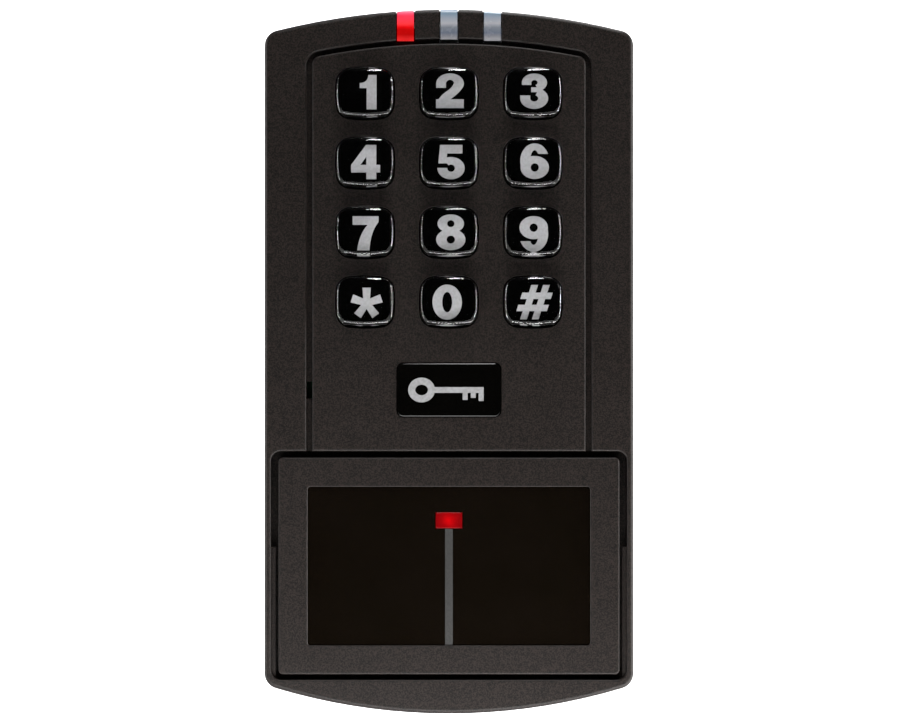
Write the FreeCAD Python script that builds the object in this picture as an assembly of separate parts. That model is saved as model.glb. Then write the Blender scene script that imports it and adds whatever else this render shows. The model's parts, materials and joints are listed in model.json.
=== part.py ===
import FreeCAD, Part
import math
import os
from FreeCAD import Vector

# Keypad access reader: a plate that stays on the wall, and a front unit that hangs from it.
#
# Frame: the origin is the centre of the wall face, +Z is up and +Y points into the wall, so the
# front faces -Y. A "depth" is a distance from the wall: depth d is the plane y = -d. An outline
# lies in the XZ plane, and a slab is an outline drawn out between two depths. Millimetres.

# ---- driving dimensions -------------------------------------------------------------------

WIDTH = 70.2                  # whole body, X
HEIGHT = 134.0                # whole body, Z
FRONT = 38.8                  # depth of the front face
KEY_RISE = 2.5                # keys stand this far in front of the front face
WALL = 2.0                    # housing side wall
TOP_RISE = 4.6                # how far the middle of the top edge stands above its ends
BOTTOM_RISE = 5.5             # the same below
CORNER = 3.0                  # outline corners
EDGE_ROUND = 0.8              # front edge of the housing
SMALL_ROUND = 0.35            # edges of the panels and of their recesses
TOUCH = 0.05                  # gap where one rigid piece rests on another
REACH = 60.0                  # length of a cutting tool that only has to run clear

# Fascia, and the groove round it
FASCIA_HALF = 26.0
FASCIA_TOP = 60.5
GROOVE = 1.1                  # beside the fascia
GROOVE_TOP = 0.9              # above it
RECESS_DEPTH = 1.6            # front face down to the groove floor
FASCIA_CORNER = 1.6
FASCIA_THICK = 2.2
OPENING_HALF = 24.0           # hole in the housing behind the fascia
OPENING_TOP = 58.0
SPLIT_Z = -17.05              # lower edge of the fascia and top of the reader pocket
OPENING_BOTTOM = SPLIT_Z + 2.6
PRY_SLOT = (-7.05, -3.8)      # Z range of the release slot in the left groove
OPENING_FIT = 0.2             # the fascia's inner step to the housing's opening
SNAP_Z = (44.3, 17.9, -8.0)   # the barbs down each side of the fascia
SNAP_WIDTH = 5.0
SNAP_STEM = 1.4
SNAP_BARB = 0.9

# Reader pocket and the cover in it
POCKET_HALF = 33.85
POCKET_BOTTOM = -60.5
POCKET_CORNER = 1.9
POCKET_DEPTH = 4.0
COVER_HALF = 32.45
COVER_TOP = -18.25
COVER_BOTTOM = -59.5
COVER_CORNER = 0.9
COVER_SIDE = 1.6              # thickness of its side walls
COVER_SKIN = 1.1              # and of the plate behind the window
PEG_X = 29.6
PEG_INSET = 4.0               # pegs to the cover's top and bottom edges
WINDOW_HALF = 26.9
WINDOW_TOP = -23.8
WINDOW_BOTTOM = -54.0
WINDOW_CORNER = 0.6
WINDOW_RECESS = 0.9
WINDOW_THICK = 0.55
WINDOW_FIT = 0.06             # gap round the window
WINDOW_ROUND = 0.2            # front edge of the cover's opening
FLOOR = 1.8                   # pocket floor
LEDGE_TOP = -35.3             # the step along each side of the pocket starts here
LEDGE_WIDTH = 0.85
LEDGE_DROP = 1.2
STRIPE_WIDTH = 1.45
LED_WINDOW = (5.1, 3.05)      # X and Z size of the reader's light
LED_WINDOW_Z = -30.2
LENS_FIT = 0.1                # gap round a light piece

# Keys: three columns by four rows
KEY_NAMES = (("1", "2", "3"), ("4", "5", "6"), ("7", "8", "9"), ("star", "0", "hash"))
KEY_PITCH_X = 15.95
KEY_PITCH_Z = 13.2
KEY_TOP_Z = 50.95
KEY_WIDTH = 11.0
KEY_HEIGHT = 9.75
KEY_SIDE_RADIUS = 22.0        # the left and right sides bow out on this radius
KEY_END_RADIUS = 24.0         # the top and bottom sides bow out on this radius
KEY_CORNER = 2.7
KEY_GAP = 0.25                # cap to fascia
KEY_TRAVEL = 1.2
CAP_CROWN = 46.0              # radius of the domed front
CAP_ROUND = 0.9
SEAT_BELOW_FACE = 1.2         # the clear cap starts this far below the front face
SKIRT_BACK = 0.1              # how far the cap's lower side is set in where the cap starts
SKIRT_FRONT = 0.4             # and at its crown
FLANGE_PAST_CAP = 0.85
FLANGE_THICK = 0.95
STEM_RADIUS = 2.2
STEM_LENGTH = 0.6

# Name plate
BADGE_Z = -5.4
BADGE_SIZE = (20.1, 10.55)
BADGE_CORNER = 1.35
BADGE_RECESS = 0.9
BADGE_THICK = 0.8
BADGE_FIT = 0.12              # gap round it

# Status lenses across the top edge
LENS_PITCH = 8.27
LENS_WIDTH = 3.2
LENS_SLOT = 3.65
LENS_RUN = 5.0                # how far the lens runs back along the top
LENS_FOOT = (5.4, 4.0, 1.2)   # X, Z and depth size of the foot that holds it
LED_CHIP = (2.0, 1.25, 0.8)
LED_ABOVE_FASCIA = 1.3

# Boards and what carries them
BOARD_THICK = 1.6
FRONT_PLATE = 3.4             # thickness of the housing's front wall
KEY_BOARD_DEPTH = 32.2        # front face of the keypad board
KEY_BOARD_HALF = 31.0
KEY_BOARD_TOP = 63.0
KEY_BOARD_BOTTOM = -13.5
MAIN_BOARD_DEPTH = 18.0       # front face of the main board
MAIN_BOARD_TOP = 56.0
MAIN_BOARD_BOTTOM = -55.0
ANTENNA_DEPTH = 31.0
ANTENNA_THICK = 1.0
ANTENNA_HALF = 26.0
ANTENNA_Z = (-57.0, -22.0)
ANTENNA_SCREW = (24.0, -39.0)
STACK_POSTS = ((-28.6, 52.0), (28.6, 52.0), (-28.6, -9.0), (28.6, -9.0))
LOW_POSTS = ((-28.8, -50.0), (28.8, -50.0))
POST_RADIUS = 2.6
PILOT_RADIUS = 1.05
PEG_RADIUS = 1.5
PEG_HOLE = 1.6
SCREW_RADIUS = 1.0
SCREW_CLEARANCE = 1.2
SCREW_HEAD = (2.2, 1.5)       # radius and height
SPACER_ACROSS = 4.5           # across the flats

LINK_PLACE = (0.0, -11.0)     # header between the boards
LINK_PINS = 8
PIN_PITCH = 2.54
PIN_SIDE = 0.64
PIN_HOLE = 0.9

# Silicone mat
MAT_HALF = 23.4
MAT_Z = (3.6, 58.2)
MAT_THICK = 1.0
DOME_FOOT = 3.6
DOME_TOP = 2.3
DOME_WALL = 0.5

# Wall plate, its hooks and its foot
RIM_DEPTH = 1.2               # the housing's back edge clears the wall by this
PLATE_THICK = 2.0
PLATE_HALF = 32.1
PLATE_TOP = 63.4
PLATE_BOTTOM = -62.4
PLATE_CORNER = 2.2
PLATE_RIB = (26.0, 1.5, 1.5)  # X of each rib, its width and how far it stands off the plate
PLATE_RIB_Z = (-32.0, 33.0)
BOX_SCREW_SPACING = 83.3      # single-gang box screws
BOX_SLOT = (4.2, 7.0)         # width and end-to-end length
GROMMET_Z = -19.0
GROMMET_BORE = 4.0
GROMMET_NECK = 8.0
GROMMET_FLANGE = 10.0
GROMMET_LIP = 0.8
PIVOT_DEPTH = 5.0             # the front unit swings about this line
PIVOT_Z = 61.8
HOOK_X = 14.0
HOOK_WIDTH = 7.0
HOOK_ARM_Z = (56.1, 58.1)
BEAD_RADIUS = 1.2
PIVOT_GAP = 0.1
NECK_THICK = 1.2
CLAW_WIDTH = 8.0
CLAW_WALL = 1.1
CLAW_LEG = 0.6                # how far the claw comes down past the swing axis
FOOT_HALF = 6.0
FOOT_LENGTH = 12.0
FOOT_Z = (PLATE_BOTTOM, PLATE_BOTTOM + 4.0)
LOCK_DEPTH = 8.0              # the security screw's axis
LOCK_RADIUS = 1.45
LOCK_HEAD = (2.85, 1.65)
LOCK_NOTCH = 1.7
LOCK_CHANNEL = 3.3
LOCK_SEAT_Z = -64.9
LOCK_BOSS_TOP = -63.2
INSERT_RADIUS = 2.2
INSERT_BORE = 1.5

# Tamper switch
TAMPER = (-20.0, -41.0)       # X and Z
TAMPER_BODY = (7.0, 6.0)      # side and height
PLUNGER_RADIUS = 1.4
COLLAR = (2.3, 0.8, 6.3)      # radius, thickness, depth of its inner face
SPRING_RADIUS = 1.9
SPRING_WIRE = 0.2
SPRING_TURNS = 5

# ---- derived ------------------------------------------------------------------------------

TOP = HEIGHT / 2
BOTTOM = -HEIGHT / 2
HALF = WIDTH / 2
TOP_RADIUS = (HALF**2 + TOP_RISE**2) / (2 * TOP_RISE)
BOTTOM_RADIUS = (HALF**2 + BOTTOM_RISE**2) / (2 * BOTTOM_RISE)
INSIDE = FRONT - FRONT_PLATE              # depth of the front wall's inner face
GROOVE_FLOOR = FRONT - RECESS_DEPTH
FASCIA_BACK = FRONT - FASCIA_THICK
POCKET_FLOOR = FRONT - POCKET_DEPTH
TRAY_BACK = POCKET_FLOOR - FLOOR
CAP_FRONT = FRONT + KEY_RISE
CAP_SEAT = FRONT - SEAT_BELOW_FACE
FLANGE_FRONT = FASCIA_BACK - TOUCH
FLANGE_BACK = FLANGE_FRONT - FLANGE_THICK
STEM_BACK = FLANGE_BACK - STEM_LENGTH
WINDOW_FLOOR = FRONT - WINDOW_RECESS
KEY_BOARD_BACK = KEY_BOARD_DEPTH - BOARD_THICK
MAIN_BOARD_BACK = MAIN_BOARD_DEPTH - BOARD_THICK

SAME = 1e-4                   # two coordinates closer than this are one

# ---- shapes -------------------------------------------------------------------------------


def at(x, z, depth):
    """The point at x, z and that depth."""
    return Vector(x, -depth, z)


def draw_out(edges, near, far):
    """A slab: the closed outline of edges, drawn at depth near, drawn out to depth far."""
    face = Part.Face(Part.Wire(edges))
    return face.extrude(Vector(0, near - far, 0))


def corner_edges(slab):
    """The edges of a slab that run along the depth."""
    found = []
    for edge in slab.Edges:
        box = edge.BoundBox
        if box.YLength > SAME and box.XLength < SAME and box.ZLength < SAME:
            found.append(edge)
    return found


def edges_at(shape, depth):
    """The edges of a shape that lie wholly at one depth."""
    found = []
    for edge in shape.Edges:
        box = edge.BoundBox
        if box.YLength < SAME and abs(box.YMin + depth) < SAME:
            found.append(edge)
    return found


def box(x, z, depth):
    """A block given by its range along x, z and depth."""
    size = (x[1] - x[0], depth[1] - depth[0], z[1] - z[0])
    return Part.makeBox(*size, at(x[0], z[0], depth[1]))


def block(x, z, width, height, near, far):
    """A block centred on x, z."""
    return box((x - width / 2, x + width / 2), (z - height / 2, z + height / 2), (near, far))


def rod(x, z, radius, near, far):
    """A cylinder along the depth."""
    return Part.makeCylinder(radius, far - near, at(x, z, near), Vector(0, -1, 0))


def cone(x, z, near_radius, far_radius, near, far):
    """A frustum along the depth."""
    return Part.makeCone(near_radius, far_radius, far - near, at(x, z, near), Vector(0, -1, 0))


def rounded(x, z, width, height, corner, near, far):
    """A block with round corners in the XZ plane."""
    slab = block(x, z, width, height, near, far)
    return slab.makeFillet(corner, corner_edges(slab))


def arched(half, top, bottom, corner, near, far, flat_bottom=False):
    """A slab with straight sides and an arched top, with a square-cornered bottom if that is flat.

    Its arcs are concentric with the housing's.
    """
    top_radius = TOP_RADIUS - (TOP - top)
    top_side = top - top_radius + math.sqrt(top_radius**2 - half**2)
    bottom_side = bottom
    if not flat_bottom:
        bottom_radius = BOTTOM_RADIUS - (bottom - BOTTOM)
        bottom_side = bottom + bottom_radius - math.sqrt(bottom_radius**2 - half**2)
    low_left = at(-half, bottom_side, near)
    high_left = at(-half, top_side, near)
    high_right = at(half, top_side, near)
    low_right = at(half, bottom_side, near)
    edges = [Part.LineSegment(low_left, high_left).toShape()]
    edges.append(Part.Arc(high_left, at(0, top, near), high_right).toShape())
    edges.append(Part.LineSegment(high_right, low_right).toShape())
    if flat_bottom:
        edges.append(Part.LineSegment(low_right, low_left).toShape())
    else:
        edges.append(Part.Arc(low_right, at(0, bottom, near), low_left).toShape())
    slab = draw_out(edges, near, far)
    corners = corner_edges(slab)
    if flat_bottom:
        corners = [edge for edge in corners if edge.BoundBox.ZMin > bottom + SAME]
    return slab.makeFillet(corner, corners)


def bowed(x, z, grow, near, far):
    """A key outline, grown outwards by grow: four bowed sides and the corner arcs tangent to them."""
    side, end, corner = (radius + grow for radius in (KEY_SIDE_RADIUS, KEY_END_RADIUS, KEY_CORNER))
    side_centre = Vector(KEY_WIDTH / 2 - KEY_SIDE_RADIUS, 0, 0)
    end_centre = Vector(0, 0, KEY_HEIGHT / 2 - KEY_END_RADIUS)
    apart = math.hypot(side_centre.x, end_centre.z)
    along = ((side - corner)**2 - (end - corner)**2 + apart**2) / (2 * apart)
    across = math.sqrt((side - corner)**2 - along**2)
    centre_x = side_centre.x - (along * side_centre.x + across * end_centre.z) / apart
    centre_z = (along * end_centre.z - across * side_centre.x) / apart
    centre = Vector(centre_x, 0, centre_z)
    on_side = side_centre + (centre - side_centre).normalize() * side
    on_end = end_centre + (centre - end_centre).normalize() * end
    in_corner = centre + ((on_side + on_end) * 0.5 - centre).normalize() * corner
    upper = [on_end, in_corner, on_side]
    right = upper + [Vector(KEY_WIDTH / 2 + grow, 0, 0)] + [Vector(p.x, 0, -p.z) for p in reversed(upper)]
    top = Vector(0, 0, KEY_HEIGHT / 2 + grow)
    loop = right + [top * -1] + [p * -1 for p in right] + [top]
    loop = [p + at(x, z, near) for p in loop]
    edges = [Part.Arc(loop[n], loop[n + 1], loop[(n + 2) % 16]).toShape() for n in range(0, 16, 2)]
    return draw_out(edges, near, far)


def hexagon(x, z, across, near, far):
    """A hexagonal bar along the depth, across its flats."""
    radius = across / math.sqrt(3)
    turns = [math.radians(60 * n) for n in range(7)]
    points = [at(x + radius * math.cos(t), z + radius * math.sin(t), near) for t in turns]
    return draw_out(Part.makePolygon(points).Edges, near, far)


def fuse(first, *others):
    """All of them as one solid, without the seams."""
    return first.multiFuse(list(others)).removeSplitter()


def cut(shape, *tools):
    """The shape less every tool."""
    return shape.cut(Part.makeCompound(list(tools))) if tools else shape


def mirrored(shape):
    """The same shape on the other side of the YZ plane."""
    return shape.mirror(Vector(0, 0, 0), Vector(1, 0, 0))


# ---- housing ------------------------------------------------------------------------------


def outer_body():
    """The housing's outside as one block, with its front edge rounded."""
    body = arched(HALF, TOP, BOTTOM, CORNER, RIM_DEPTH, FRONT)
    return body.makeFillet(EDGE_ROUND, edges_at(body, FRONT))


def groove_outline(near, far):
    """The recess that the fascia lies in, groove included."""
    top = FASCIA_TOP + GROOVE_TOP
    half = FASCIA_HALF + GROOVE
    return arched(half, top, SPLIT_Z - GROOVE, FASCIA_CORNER + GROOVE, near, far, flat_bottom=True)


def pocket_outline(near, far):
    """The recess that the reader cover lies in."""
    middle = (SPLIT_Z + POCKET_BOTTOM) / 2
    return rounded(0, middle, 2 * POCKET_HALF, SPLIT_Z - POCKET_BOTTOM, POCKET_CORNER, near, far)


def lens_positions():
    """X of the three status lenses, left to right."""
    return (-LENS_PITCH, 0.0, LENS_PITCH)


def cover_pegs():
    """X and Z of the four pegs that hold the reader cover."""
    return [(x, z) for x in (-PEG_X, PEG_X) for z in (COVER_TOP - PEG_INSET, COVER_BOTTOM + PEG_INSET)]


def lock_channel(half, low, high):
    """A slot open to the back, round the security screw."""
    run = box((-half, half), (low, high), (0, LOCK_DEPTH))
    end = Part.makeCylinder(half, high - low, at(0, low, LOCK_DEPTH), Vector(0, 0, 1))
    return run.fuse(end)


def across_rod(radius, span):
    """A cylinder along the swing axis, over that range of x."""
    return Part.makeCylinder(radius, span[1] - span[0], at(span[0], PIVOT_Z, PIVOT_DEPTH), Vector(1, 0, 0))


def hook_claw(x):
    """A saddle under the housing's top wall that hangs on one of the plate's beads."""
    span = (x - CLAW_WIDTH / 2, x + CLAW_WIDTH / 2)
    seat = BEAD_RADIUS + PIVOT_GAP
    outside = seat + CLAW_WALL
    claw = box(span, (PIVOT_Z - CLAW_LEG, TOP - WALL + 0.2), (PIVOT_DEPTH - outside, PIVOT_DEPTH + outside))
    mouth = box(span, (PIVOT_Z - 2 * CLAW_LEG, PIVOT_Z), (PIVOT_DEPTH - seat, PIVOT_DEPTH + seat))
    return cut(claw, across_rod(seat, span), mouth)


def front_housing():
    """The outer shell: side walls, front frame, reader pocket, bosses and hooks."""
    recesses = (groove_outline(GROOVE_FLOOR, REACH), pocket_outline(POCKET_FLOOR, REACH))
    outside = with_recesses(outer_body(), recesses)
    hollow = arched(HALF - WALL, TOP - WALL, BOTTOM + WALL, CORNER - 1.2, 0, INSIDE)
    tray = arched(HALF - WALL / 2, TOP - WALL / 2, BOTTOM + WALL / 2, CORNER - 1.0, TRAY_BACK, INSIDE + 0.5)
    tray = tray.common(box((-REACH, REACH), (BOTTOM, SPLIT_Z + WALL), (0, REACH)))
    shell = fuse(outside.cut(hollow), cut(tray, *recesses))
    claws = (hook_claw(-HOOK_X), hook_claw(HOOK_X))
    shell = fuse(shell, *pocket_ledges(), *board_bosses(), *claws, lock_boss())
    return cut(shell, *housing_holes())


def with_recesses(outside, recesses):
    """The outside with the recesses cut, and with the front edges that they make rounded."""
    kept = [edge.CenterOfMass for edge in edges_at(outside, FRONT)]
    body = cut(outside, *recesses)
    made = [edge for edge in edges_at(body, FRONT)
            if all(edge.CenterOfMass.distanceToPoint(place) > SAME for place in kept)]
    return body.makeFillet(SMALL_ROUND, made)


def pocket_ledges():
    """The step along the lower part of each side of the pocket."""
    x = (POCKET_HALF - LEDGE_WIDTH, POCKET_HALF + 0.2)
    ledge = box(x, (POCKET_BOTTOM - 0.2, LEDGE_TOP), (POCKET_FLOOR - 0.2, FRONT - LEDGE_DROP))
    return ledge, mirrored(ledge)


def board_bosses():
    """The posts that the boards stand on, with no pilot holes yet."""
    posts = [rod(x, z, POST_RADIUS, KEY_BOARD_DEPTH, INSIDE + 0.2) for x, z in STACK_POSTS]
    posts += [rod(x, z, POST_RADIUS, MAIN_BOARD_DEPTH, TRAY_BACK + 0.2) for x, z in LOW_POSTS]
    x, z = ANTENNA_SCREW
    posts += [rod(side * x, z, POST_RADIUS - 0.6, ANTENNA_DEPTH, TRAY_BACK + 0.2) for side in (-1, 1)]
    return posts


def lock_boss():
    """The thick place in the bottom wall round the security screw."""
    return box((-LOCK_CHANNEL - 2.2, LOCK_CHANNEL + 2.2), (BOTTOM + WALL / 2, LOCK_BOSS_TOP),
               (RIM_DEPTH, LOCK_DEPTH + LOCK_CHANNEL + 1.7))


def housing_holes():
    """Every hole and slot in the housing."""
    holes = [arched(OPENING_HALF, OPENING_TOP, OPENING_BOTTOM, FASCIA_CORNER, INSIDE - 0.5, REACH,
                    flat_bottom=True)]
    for x in lens_positions():
        holes.append(block(x, TOP, LENS_SLOT, 2 * (TOP - FASCIA_TOP - 0.2), FRONT - LENS_RUN - 0.2, REACH))
    holes.append(box((-FASCIA_HALF - GROOVE, -FASCIA_HALF), PRY_SLOT, (INSIDE - 0.5, GROOVE_FLOOR + 0.5)))
    holes.append(block(0, LED_WINDOW_Z, LED_WINDOW[0] + 2 * LENS_FIT, LED_WINDOW[1] + 2 * LENS_FIT,
                       TRAY_BACK - 0.5, POCKET_FLOOR + 0.5))
    holes += [rod(x, z, PEG_HOLE, TRAY_BACK - 0.5, POCKET_FLOOR + 0.5) for x, z in cover_pegs()]
    holes += [rod(x, z, SCREW_CLEARANCE, KEY_BOARD_DEPTH - 0.5, INSIDE) for x, z in STACK_POSTS]
    holes += [rod(x, z, PILOT_RADIUS, MAIN_BOARD_DEPTH - 0.5, MAIN_BOARD_DEPTH + 7) for x, z in LOW_POSTS]
    x, z = ANTENNA_SCREW
    holes += [rod(side * x, z, PILOT_RADIUS, ANTENNA_DEPTH - 0.5, POCKET_FLOOR - 0.6) for side in (-1, 1)]
    holes.append(lock_channel(LOCK_CHANNEL, BOTTOM - 1, LOCK_SEAT_Z))
    holes.append(lock_channel(LOCK_NOTCH, BOTTOM - 1, LOCK_BOSS_TOP + 1))
    return holes


# ---- fascia, badge and reader cover -------------------------------------------------------


def key_places():
    """Each key's name, x and z."""
    places = []
    for row, names in enumerate(KEY_NAMES):
        for column, name in enumerate(names):
            places.append((name, (column - 1) * KEY_PITCH_X, KEY_TOP_Z - row * KEY_PITCH_Z))
    return places


def fascia_snap(x, z):
    """A barb that grips behind the edge of the housing's opening, on the side that x is on."""
    outer = abs(x)
    inner = outer - SNAP_STEM
    height = (z - SNAP_WIDTH / 2, z + SNAP_WIDTH / 2)
    stem = box((inner, outer), height, (INSIDE - 1.0, FASCIA_BACK + 0.1))
    hook = box((inner, outer + SNAP_BARB), height, (INSIDE - 1.0, INSIDE - TOUCH))
    snap = stem.fuse(hook)
    return snap if x > 0 else mirrored(snap)


def keypad_fascia():
    """The raised panel round the keys."""
    plate = arched(FASCIA_HALF, FASCIA_TOP, SPLIT_Z, FASCIA_CORNER, GROOVE_FLOOR, FRONT, flat_bottom=True)
    plate = plate.makeFillet(SMALL_ROUND, edges_at(plate, FRONT))
    half = OPENING_HALF - OPENING_FIT
    inner = arched(half, OPENING_TOP - OPENING_FIT, OPENING_BOTTOM + OPENING_FIT, FASCIA_CORNER,
                   FASCIA_BACK, GROOVE_FLOOR + 0.2, flat_bottom=True)
    snaps = [fascia_snap(side * half, z) for side in (-1, 1) for z in SNAP_Z]
    fascia = fuse(plate, inner, *snaps)
    holes = [bowed(x, z, KEY_GAP, 0, REACH) for _, x, z in key_places()]
    holes.append(rounded(0, BADGE_Z, *BADGE_SIZE, BADGE_CORNER, FRONT - BADGE_RECESS, REACH))
    return cut(fascia, *holes)


def badge_plate():
    """The blank name plate in the fascia."""
    back = FRONT - BADGE_RECESS
    width, height = (side - 2 * BADGE_FIT for side in BADGE_SIZE)
    plate = rounded(0, BADGE_Z, width, height, BADGE_CORNER - BADGE_FIT, back, back + BADGE_THICK)
    return plate.makeFillet(SMALL_ROUND, edges_at(plate, back + BADGE_THICK))


def light_hole(near, far):
    """The hole that the reader's light piece passes through."""
    width, height = LED_WINDOW
    return block(0, LED_WINDOW_Z, width + 2 * LENS_FIT, height + 2 * LENS_FIT, near, far)


def reader_cover():
    """The framed cover over the reader, hollow behind, with four pegs."""
    middle = (COVER_TOP + COVER_BOTTOM) / 2
    width, height = 2 * COVER_HALF, COVER_TOP - COVER_BOTTOM
    back = POCKET_FLOOR + TOUCH
    cover = rounded(0, middle, width, height, COVER_CORNER, back, FRONT)
    cover = cover.makeFillet(SMALL_ROUND, edges_at(cover, FRONT))
    behind = block(0, middle, width - 2 * COVER_SIDE, height - 2 * COVER_SIDE, 0, WINDOW_FLOOR - COVER_SKIN)
    window_middle = (WINDOW_TOP + WINDOW_BOTTOM) / 2
    recess = rounded(0, window_middle, 2 * WINDOW_HALF, WINDOW_TOP - WINDOW_BOTTOM, WINDOW_CORNER,
                     WINDOW_FLOOR, REACH)
    cover = cut(cover, behind, recess)
    beyond = WINDOW_HALF + SAME
    opening_edges = [edge for edge in edges_at(cover, FRONT) if abs(edge.CenterOfMass.x) < beyond
                     and WINDOW_BOTTOM - SAME < edge.CenterOfMass.z < WINDOW_TOP + SAME]
    cover = cover.makeFillet(WINDOW_ROUND, opening_edges)
    peg_front = WINDOW_FLOOR - COVER_SKIN + 0.1
    pegs = [rod(x, z, PEG_RADIUS, TRAY_BACK - 0.6, peg_front) for x, z in cover_pegs()]
    return cut(fuse(cover, *pegs), light_hole(0, REACH))


def stripe_block(grow):
    """The stripe below the reader's light, through the window, grown sideways by grow."""
    top = LED_WINDOW_Z - LED_WINDOW[1] / 2 - LENS_FIT
    half = STRIPE_WIDTH / 2 + grow
    return box((-half, half), (WINDOW_BOTTOM, top), (WINDOW_FLOOR, WINDOW_FLOOR + WINDOW_THICK))


def reader_window():
    """The dark window, with a slot for the stripe and a hole for the light."""
    middle = (WINDOW_TOP + WINDOW_BOTTOM) / 2
    pane = rounded(0, middle, 2 * (WINDOW_HALF - WINDOW_FIT), WINDOW_TOP - WINDOW_BOTTOM - 2 * WINDOW_FIT,
                   WINDOW_CORNER - WINDOW_FIT, WINDOW_FLOOR, WINDOW_FLOOR + WINDOW_THICK)
    return cut(pane, light_hole(0, REACH), stripe_block(WINDOW_FIT / 2))


def reader_stripe():
    """The grey inlay that points down from the light."""
    return stripe_block(0).common(box((-1, 1), (WINDOW_BOTTOM + WINDOW_FIT, 0), (0, REACH)))


def reader_led_lens():
    """The light piece from the window back to the reader's LED."""
    width, height = LED_WINDOW
    front = WINDOW_FLOOR + WINDOW_THICK
    lens = block(0, LED_WINDOW_Z, width, height, TRAY_BACK + 0.1, front)
    return lens.makeFillet(0.15, edges_at(lens, front))


# ---- status lights ------------------------------------------------------------------------


def status_lens(x):
    """A lens that fills one slot in the top edge, flush with the front and the top."""
    half = LENS_WIDTH / 2
    low = FASCIA_TOP + GROOVE_TOP + math.sqrt(TOP_RADIUS**2 - x**2) - TOP_RADIUS - 0.15
    filling = box((x - half, x + half), (low, TOP + 1), (FRONT - LENS_RUN, FRONT + 1))
    foot_width, foot_height, foot_depth = LENS_FOOT
    foot = box((x - foot_width / 2, x + foot_width / 2), (low - 0.6, low - 0.6 + foot_height - 0.8),
               (INSIDE - TOUCH - foot_depth, INSIDE - TOUCH))
    return fuse(outer_body().common(filling), foot)


def status_leds():
    """One LED chip on the keypad board behind each lens."""
    width, height, thick = LED_CHIP
    near = KEY_BOARD_DEPTH
    return Part.makeCompound([block(x, FASCIA_TOP + LED_ABOVE_FASCIA, width, height, near, near + thick)
                              for x in lens_positions()])


# ---- keys ---------------------------------------------------------------------------------


def keycap(x, z):
    """The clear cap: domed, with a lower side that slopes in and a rounded front edge."""
    cap = bowed(x, z, 0, CAP_SEAT, CAP_FRONT + TOUCH)
    dome = Part.makeSphere(CAP_CROWN, at(x, z, CAP_FRONT - CAP_CROWN))
    bow_z = z - KEY_HEIGHT / 2 + KEY_END_RADIUS
    skirt = cone(x, bow_z, KEY_END_RADIUS - SKIRT_BACK, KEY_END_RADIUS - SKIRT_FRONT,
                 CAP_SEAT, CAP_FRONT + TOUCH)
    cap = cap.common(dome).common(skirt)
    crown = min(cap.Faces, key=lambda face: face.CenterOfMass.y)
    return cap.makeFillet(CAP_ROUND, crown.Edges)


def key_base(x, z):
    """The black carrier under the cap, with the flange that keeps it behind the fascia."""
    boss = bowed(x, z, 0, FLANGE_FRONT - 0.2, CAP_SEAT)
    flange = bowed(x, z, FLANGE_PAST_CAP, FLANGE_BACK, FLANGE_FRONT)
    stem = rod(x, z, STEM_RADIUS, STEM_BACK, FLANGE_BACK + 0.2)
    return fuse(boss, flange, stem)


def keypad_mat():
    """The silicone mat: a web with one hollow dome behind each key."""
    low, high = MAT_Z
    web_front = KEY_BOARD_DEPTH + MAT_THICK
    dome_front = STEM_BACK - TOUCH
    web = rounded(0, (low + high) / 2, 2 * MAT_HALF, high - low, 3.0, KEY_BOARD_DEPTH, web_front)
    domes = []
    hollows = []
    for _, x, z in key_places():
        domes.append(cone(x, z, DOME_FOOT, DOME_TOP, web_front - 0.1, dome_front))
        hollows.append(cone(x, z, DOME_FOOT - DOME_WALL, DOME_TOP - DOME_WALL,
                            KEY_BOARD_DEPTH - 0.1, dome_front - 0.7))
    return cut(fuse(web, *domes), *hollows)


# ---- boards -------------------------------------------------------------------------------


def keypad_board():
    """The board behind the keys, held by the four spacers."""
    board = arched(KEY_BOARD_HALF, KEY_BOARD_TOP, KEY_BOARD_BOTTOM, 1.5, KEY_BOARD_BACK, KEY_BOARD_DEPTH,
                   flat_bottom=True)
    holes = [rod(x, z, SCREW_CLEARANCE + 0.1, 0, REACH) for x, z in STACK_POSTS]
    return cut(board, *holes, *pin_row(*LINK_PLACE, LINK_PINS, PIN_HOLE, 0, REACH))


def main_board():
    """The board with the controller, relay and connectors, on six screws."""
    middle = (MAIN_BOARD_TOP + MAIN_BOARD_BOTTOM) / 2
    board = rounded(0, middle, 2 * KEY_BOARD_HALF, MAIN_BOARD_TOP - MAIN_BOARD_BOTTOM, 1.5,
                    MAIN_BOARD_BACK, MAIN_BOARD_DEPTH)
    holes = [rod(x, z, SCREW_CLEARANCE, 0, REACH) for x, z in STACK_POSTS + LOW_POSTS]
    return cut(board, *holes, *pin_row(*LINK_PLACE, LINK_PINS, PIN_HOLE, 0, REACH))


def board_spacers():
    """Hexagonal spacers between the boards. Each one's stud runs into a housing boss."""
    spacers = []
    for x, z in STACK_POSTS:
        body = hexagon(x, z, SPACER_ACROSS, MAIN_BOARD_DEPTH, KEY_BOARD_BACK)
        stud = rod(x, z, SCREW_CLEARANCE - 0.1, KEY_BOARD_BACK - 0.1, INSIDE - 0.4)
        spacers.append(fuse(body, stud).cut(rod(x, z, PILOT_RADIUS, 0, MAIN_BOARD_DEPTH + 7)))
    return Part.makeCompound(spacers)


def cross_screw(x, z, seat, tip):
    """A pan-head screw with a cross recess, its head at the back, its tip at depth tip."""
    radius, height = SCREW_HEAD
    head = rod(x, z, radius, seat - height, seat)
    head = head.makeFillet(0.5, edges_at(head, seat - height))
    shank = rod(x, z, SCREW_RADIUS, seat - 0.1, tip)
    arm = 2.6
    slot = 0.55
    recess_floor = seat - height + 0.8
    bars = [block(x, z, arm, slot, 0, recess_floor), block(x, z, slot, arm, 0, recess_floor)]
    return cut(fuse(head, shank), *bars)


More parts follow.
